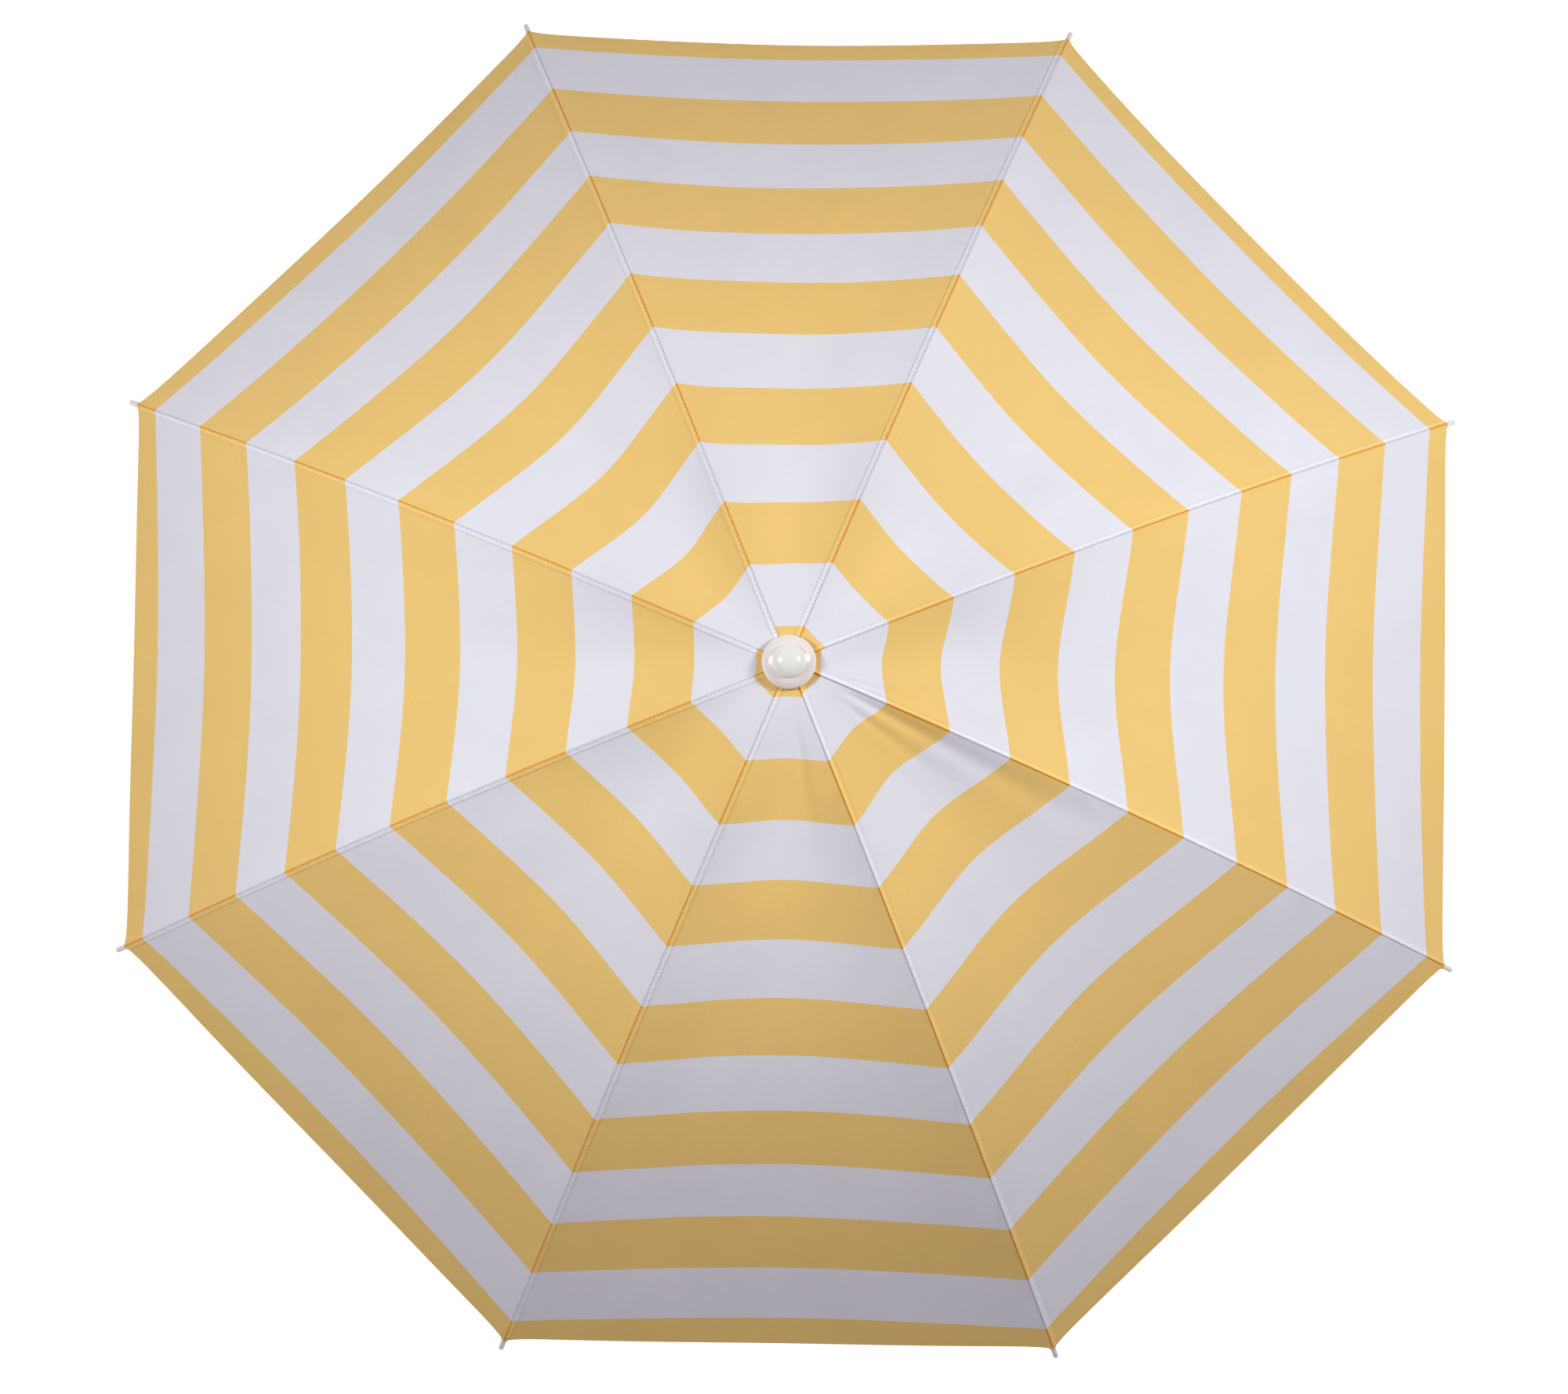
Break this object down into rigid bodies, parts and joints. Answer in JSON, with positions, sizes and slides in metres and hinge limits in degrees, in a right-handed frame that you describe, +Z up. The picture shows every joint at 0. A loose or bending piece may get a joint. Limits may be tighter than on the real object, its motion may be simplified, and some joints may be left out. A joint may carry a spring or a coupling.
{
  "type": "beach umbrella",
  "caption": "Round striped beach umbrella with rib and stretcher frame, sliding runner, tilting head, telescoping pole and a pointed foot for sand",
  "frame": {"origin": "the point of the sand spike, on the pole's axis, at the bottom of the object's box", "axes": "+Z up along the pole; +X and +Y each point to the middle of a gore, and the tilt joint leans the canopy towards -Y"},
  "size_m": [1.536, 1.536, 2.0571],
  "materials": {
    "canopy_fabric": "striped woven polyester, matt",
    "pearl": "pearl white, glossy",
    "white_plastic": "satin",
    "rib_rod": "white fibreglass rod",
    "white_enamel": "white enamel",
    "zinc": "zinc plated"
  },
  "bodies": {
    "base": {"lower_pole": "white_enamel", "clamp_collar": "white_plastic", "sand_spike": "white_plastic"},
    "wing": {"wing_screw": "white_plastic"},
    "mast": {"inner_pole": "zinc", "tilt_fork": "white_plastic", "tilt_pin": "zinc"},
    "tilt_release": {"tilt_button": "zinc"},
    "head": {"upper_pole": "white_enamel", "tilt_head": "white_plastic", "crown": "white_plastic", "crown_ring": "zinc", "finial": "pearl"},
    "slider": {"runner": "white_plastic", "runner_ring": "zinc", "catch_pin": "zinc"},
    "catch": {"catch_lever": "white_plastic"},
    "arm_1": {"rib_1": "rib_rod", "rib_tip_1": "white_plastic"},
    "arm_2": {"rib_2": "rib_rod", "rib_tip_2": "white_plastic"},
    "arm_3": {"rib_3": "rib_rod", "rib_tip_3": "white_plastic"},
    "arm_4": {"rib_4": "rib_rod", "rib_tip_4": "white_plastic"},
    "arm_5": {"rib_5": "rib_rod", "rib_tip_5": "white_plastic"},
    "arm_6": {"rib_6": "rib_rod", "rib_tip_6": "white_plastic"},
    "arm_7": {"rib_7": "rib_rod", "rib_tip_7": "white_plastic"},
    "arm_8": {"rib_8": "rib_rod", "rib_tip_8": "white_plastic"},
    "strut_1": {"stretcher_1": "rib_rod", "clip_rivet_1": "zinc"},
    "strut_2": {"stretcher_2": "rib_rod", "clip_rivet_2": "zinc"},
    "strut_3": {"stretcher_3": "rib_rod", "clip_rivet_3": "zinc"},
    "strut_4": {"stretcher_4": "rib_rod", "clip_rivet_4": "zinc"},
    "strut_5": {"stretcher_5": "rib_rod", "clip_rivet_5": "zinc"},
    "strut_6": {"stretcher_6": "rib_rod", "clip_rivet_6": "zinc"},
    "strut_7": {"stretcher_7": "rib_rod", "clip_rivet_7": "zinc"},
    "strut_8": {"stretcher_8": "rib_rod", "clip_rivet_8": "zinc"},
    "panel_1": {"gore_1": "canopy_fabric"},
    "panel_2": {"gore_2": "canopy_fabric"},
    "panel_3": {"gore_3": "canopy_fabric"},
    "panel_4": {"gore_4": "canopy_fabric"},
    "panel_5": {"gore_5": "canopy_fabric"},
    "panel_6": {"gore_6": "canopy_fabric"},
    "panel_7": {"gore_7": "canopy_fabric"},
    "panel_8": {"gore_8": "canopy_fabric"}
  },
  "joints": [
    {"name": "height_slide", "type": "slide", "parent": "base", "child": "mast", "axis": [0, 0, 1], "range_m": [-0.24, 0]},
    {"name": "wing_screw_turn", "type": "hinge", "parent": "base", "child": "wing", "pos_m": [0, -0.03, 0.746], "axis": [0, -1, 0], "continuous": true},
    {"name": "tilt", "type": "hinge", "parent": "mast", "child": "head", "pos_m": [0, 0, 1.06], "axis": [1, 0, 0], "range_deg": [0, 40]},
    {"name": "tilt_button_press", "type": "slide", "parent": "mast", "child": "tilt_release", "axis": [0, 1, 0], "range_m": [0, 0.003], "stiffness_N_per_m": 400},
    {"name": "runner_slide", "type": "slide", "parent": "head", "child": "slider", "axis": [0, 0, 1], "range_m": [-0.57608, 0], "deforming": ["gore_1", "gore_2", "gore_3", "gore_4", "gore_5", "gore_6", "gore_7", "gore_8"]},
    {"name": "catch_squeeze", "type": "hinge", "parent": "slider", "child": "catch", "pos_m": [0.0205, 0, 1.753], "axis": [0, 1, 0], "range_deg": [0, 12], "stiffness_Nm_per_rad": 0.25},
    {"name": "rib_fold_1", "type": "hinge", "parent": "head", "child": "arm_1", "pos_m": [0.01848, 0.00765, 2.02], "axis": [-0.3827, 0.9239, 0], "range_deg": [0, 68.7]},
    {"name": "stretcher_fold_1", "type": "hinge", "parent": "arm_1", "child": "strut_1", "pos_m": [0.38186, 0.15817, 1.96443], "axis": [-0.3827, 0.9239, 0], "range_deg": [-121.8, 0]},
    {"name": "rib_fold_2", "type": "hinge", "parent": "head", "child": "arm_2", "pos_m": [0.00765, 0.01848, 2.02], "axis": [-0.9239, 0.3827, 0], "range_deg": [0, 68.7]},
    {"name": "stretcher_fold_2", "type": "hinge", "parent": "arm_2", "child": "strut_2", "pos_m": [0.15817, 0.38186, 1.96443], "axis": [-0.9239, 0.3827, 0], "range_deg": [-121.8, 0]},
    {"name": "rib_fold_3", "type": "hinge", "parent": "head", "child": "arm_3", "pos_m": [-0.00765, 0.01848, 2.02], "axis": [-0.9239, -0.3827, 0], "range_deg": [0, 68.7]},
    {"name": "stretcher_fold_3", "type": "hinge", "parent": "arm_3", "child": "strut_3", "pos_m": [-0.15817, 0.38186, 1.96443], "axis": [-0.9239, -0.3827, 0], "range_deg": [-121.8, 0]},
    {"name": "rib_fold_4", "type": "hinge", "parent": "head", "child": "arm_4", "pos_m": [-0.01848, 0.00765, 2.02], "axis": [-0.3827, -0.9239, 0], "range_deg": [0, 68.7]},
    {"name": "stretcher_fold_4", "type": "hinge", "parent": "arm_4", "child": "strut_4", "pos_m": [-0.38186, 0.15817, 1.96443], "axis": [-0.3827, -0.9239, 0], "range_deg": [-121.8, 0]},
    {"name": "rib_fold_5", "type": "hinge", "parent": "head", "child": "arm_5", "pos_m": [-0.01848, -0.00765, 2.02], "axis": [0.3827, -0.9239, 0], "range_deg": [0, 68.7]},
    {"name": "stretcher_fold_5", "type": "hinge", "parent": "arm_5", "child": "strut_5", "pos_m": [-0.38186, -0.15817, 1.96443], "axis": [0.3827, -0.9239, 0], "range_deg": [-121.8, 0]},
    {"name": "rib_fold_6", "type": "hinge", "parent": "head", "child": "arm_6", "pos_m": [-0.00765, -0.01848, 2.02], "axis": [0.9239, -0.3827, 0], "range_deg": [0, 68.7]},
    {"name": "stretcher_fold_6", "type": "hinge", "parent": "arm_6", "child": "strut_6", "pos_m": [-0.15817, -0.38186, 1.96443], "axis": [0.9239, -0.3827, 0], "range_deg": [-121.8, 0]},
    {"name": "rib_fold_7", "type": "hinge", "parent": "head", "child": "arm_7", "pos_m": [0.00765, -0.01848, 2.02], "axis": [0.9239, 0.3827, 0], "range_deg": [0, 68.7]},
    {"name": "stretcher_fold_7", "type": "hinge", "parent": "arm_7", "child": "strut_7", "pos_m": [0.15817, -0.38186, 1.96443], "axis": [0.9239, 0.3827, 0], "range_deg": [-121.8, 0]},
    {"name": "rib_fold_8", "type": "hinge", "parent": "head", "child": "arm_8", "pos_m": [0.01848, -0.00765, 2.02], "axis": [0.3827, 0.9239, 0], "range_deg": [0, 68.7]},
    {"name": "stretcher_fold_8", "type": "hinge", "parent": "arm_8", "child": "strut_8", "pos_m": [0.38186, -0.15817, 1.96443], "axis": [0.3827, 0.9239, 0], "range_deg": [-121.8, 0]},
    {"name": "gore_fold_1", "type": "hinge", "parent": "head", "child": "panel_1", "pos_m": [0.02, 0, 2.02], "axis": [0, 1, 0], "range_deg": [0, 68.7]},
    {"name": "gore_fold_2", "type": "hinge", "parent": "head", "child": "panel_2", "pos_m": [0.01414, 0.01414, 2.02], "axis": [-0.7071, 0.7071, 0], "range_deg": [0, 68.7]},
    {"name": "gore_fold_3", "type": "hinge", "parent": "head", "child": "panel_3", "pos_m": [0, 0.02, 2.02], "axis": [-1, 0, 0], "range_deg": [0, 68.7]},
    {"name": "gore_fold_4", "type": "hinge", "parent": "head", "child": "panel_4", "pos_m": [-0.01414, 0.01414, 2.02], "axis": [-0.7071, -0.7071, 0], "range_deg": [0, 68.7]},
    {"name": "gore_fold_5", "type": "hinge", "parent": "head", "child": "panel_5", "pos_m": [-0.02, 0, 2.02], "axis": [0, -1, 0], "range_deg": [0, 68.7]},
    {"name": "gore_fold_6", "type": "hinge", "parent": "head", "child": "panel_6", "pos_m": [-0.01414, -0.01414, 2.02], "axis": [0.7071, -0.7071, 0], "range_deg": [0, 68.7]},
    {"name": "gore_fold_7", "type": "hinge", "parent": "head", "child": "panel_7", "pos_m": [0, -0.02, 2.02], "axis": [1, 0, 0], "range_deg": [0, 68.7]},
    {"name": "gore_fold_8", "type": "hinge", "parent": "head", "child": "panel_8", "pos_m": [0.01414, -0.01414, 2.02], "axis": [0.7071, 0.7071, 0], "range_deg": [0, 68.7]}
  ],
  "couplings": [
    {"joint": "rib_fold_1", "follows": "runner_slide", "rad_per_m": -2.0783},
    {"joint": "stretcher_fold_1", "follows": "runner_slide", "rad_per_m": 3.6858},
    {"joint": "rib_fold_2", "follows": "runner_slide", "rad_per_m": -2.0783},
    {"joint": "stretcher_fold_2", "follows": "runner_slide", "rad_per_m": 3.6858},
    {"joint": "rib_fold_3", "follows": "runner_slide", "rad_per_m": -2.0783},
    {"joint": "stretcher_fold_3", "follows": "runner_slide", "rad_per_m": 3.6858},
    {"joint": "rib_fold_4", "follows": "runner_slide", "rad_per_m": -2.0783},
    {"joint": "stretcher_fold_4", "follows": "runner_slide", "rad_per_m": 3.6858},
    {"joint": "rib_fold_5", "follows": "runner_slide", "rad_per_m": -2.0783},
    {"joint": "stretcher_fold_5", "follows": "runner_slide", "rad_per_m": 3.6858},
    {"joint": "rib_fold_6", "follows": "runner_slide", "rad_per_m": -2.0783},
    {"joint": "stretcher_fold_6", "follows": "runner_slide", "rad_per_m": 3.6858},
    {"joint": "rib_fold_7", "follows": "runner_slide", "rad_per_m": -2.0783},
    {"joint": "stretcher_fold_7", "follows": "runner_slide", "rad_per_m": 3.6858},
    {"joint": "rib_fold_8", "follows": "runner_slide", "rad_per_m": -2.0783},
    {"joint": "stretcher_fold_8", "follows": "runner_slide", "rad_per_m": 3.6858},
    {"joint": "gore_fold_1", "follows": "runner_slide", "rad_per_m": -2.0783},
    {"joint": "gore_fold_2", "follows": "runner_slide", "rad_per_m": -2.0783},
    {"joint": "gore_fold_3", "follows": "runner_slide", "rad_per_m": -2.0783},
    {"joint": "gore_fold_4", "follows": "runner_slide", "rad_per_m": -2.0783},
    {"joint": "gore_fold_5", "follows": "runner_slide", "rad_per_m": -2.0783},
    {"joint": "gore_fold_6", "follows": "runner_slide", "rad_per_m": -2.0783},
    {"joint": "gore_fold_7", "follows": "runner_slide", "rad_per_m": -2.0783},
    {"joint": "gore_fold_8", "follows": "runner_slide", "rad_per_m": -2.0783}
  ]
}
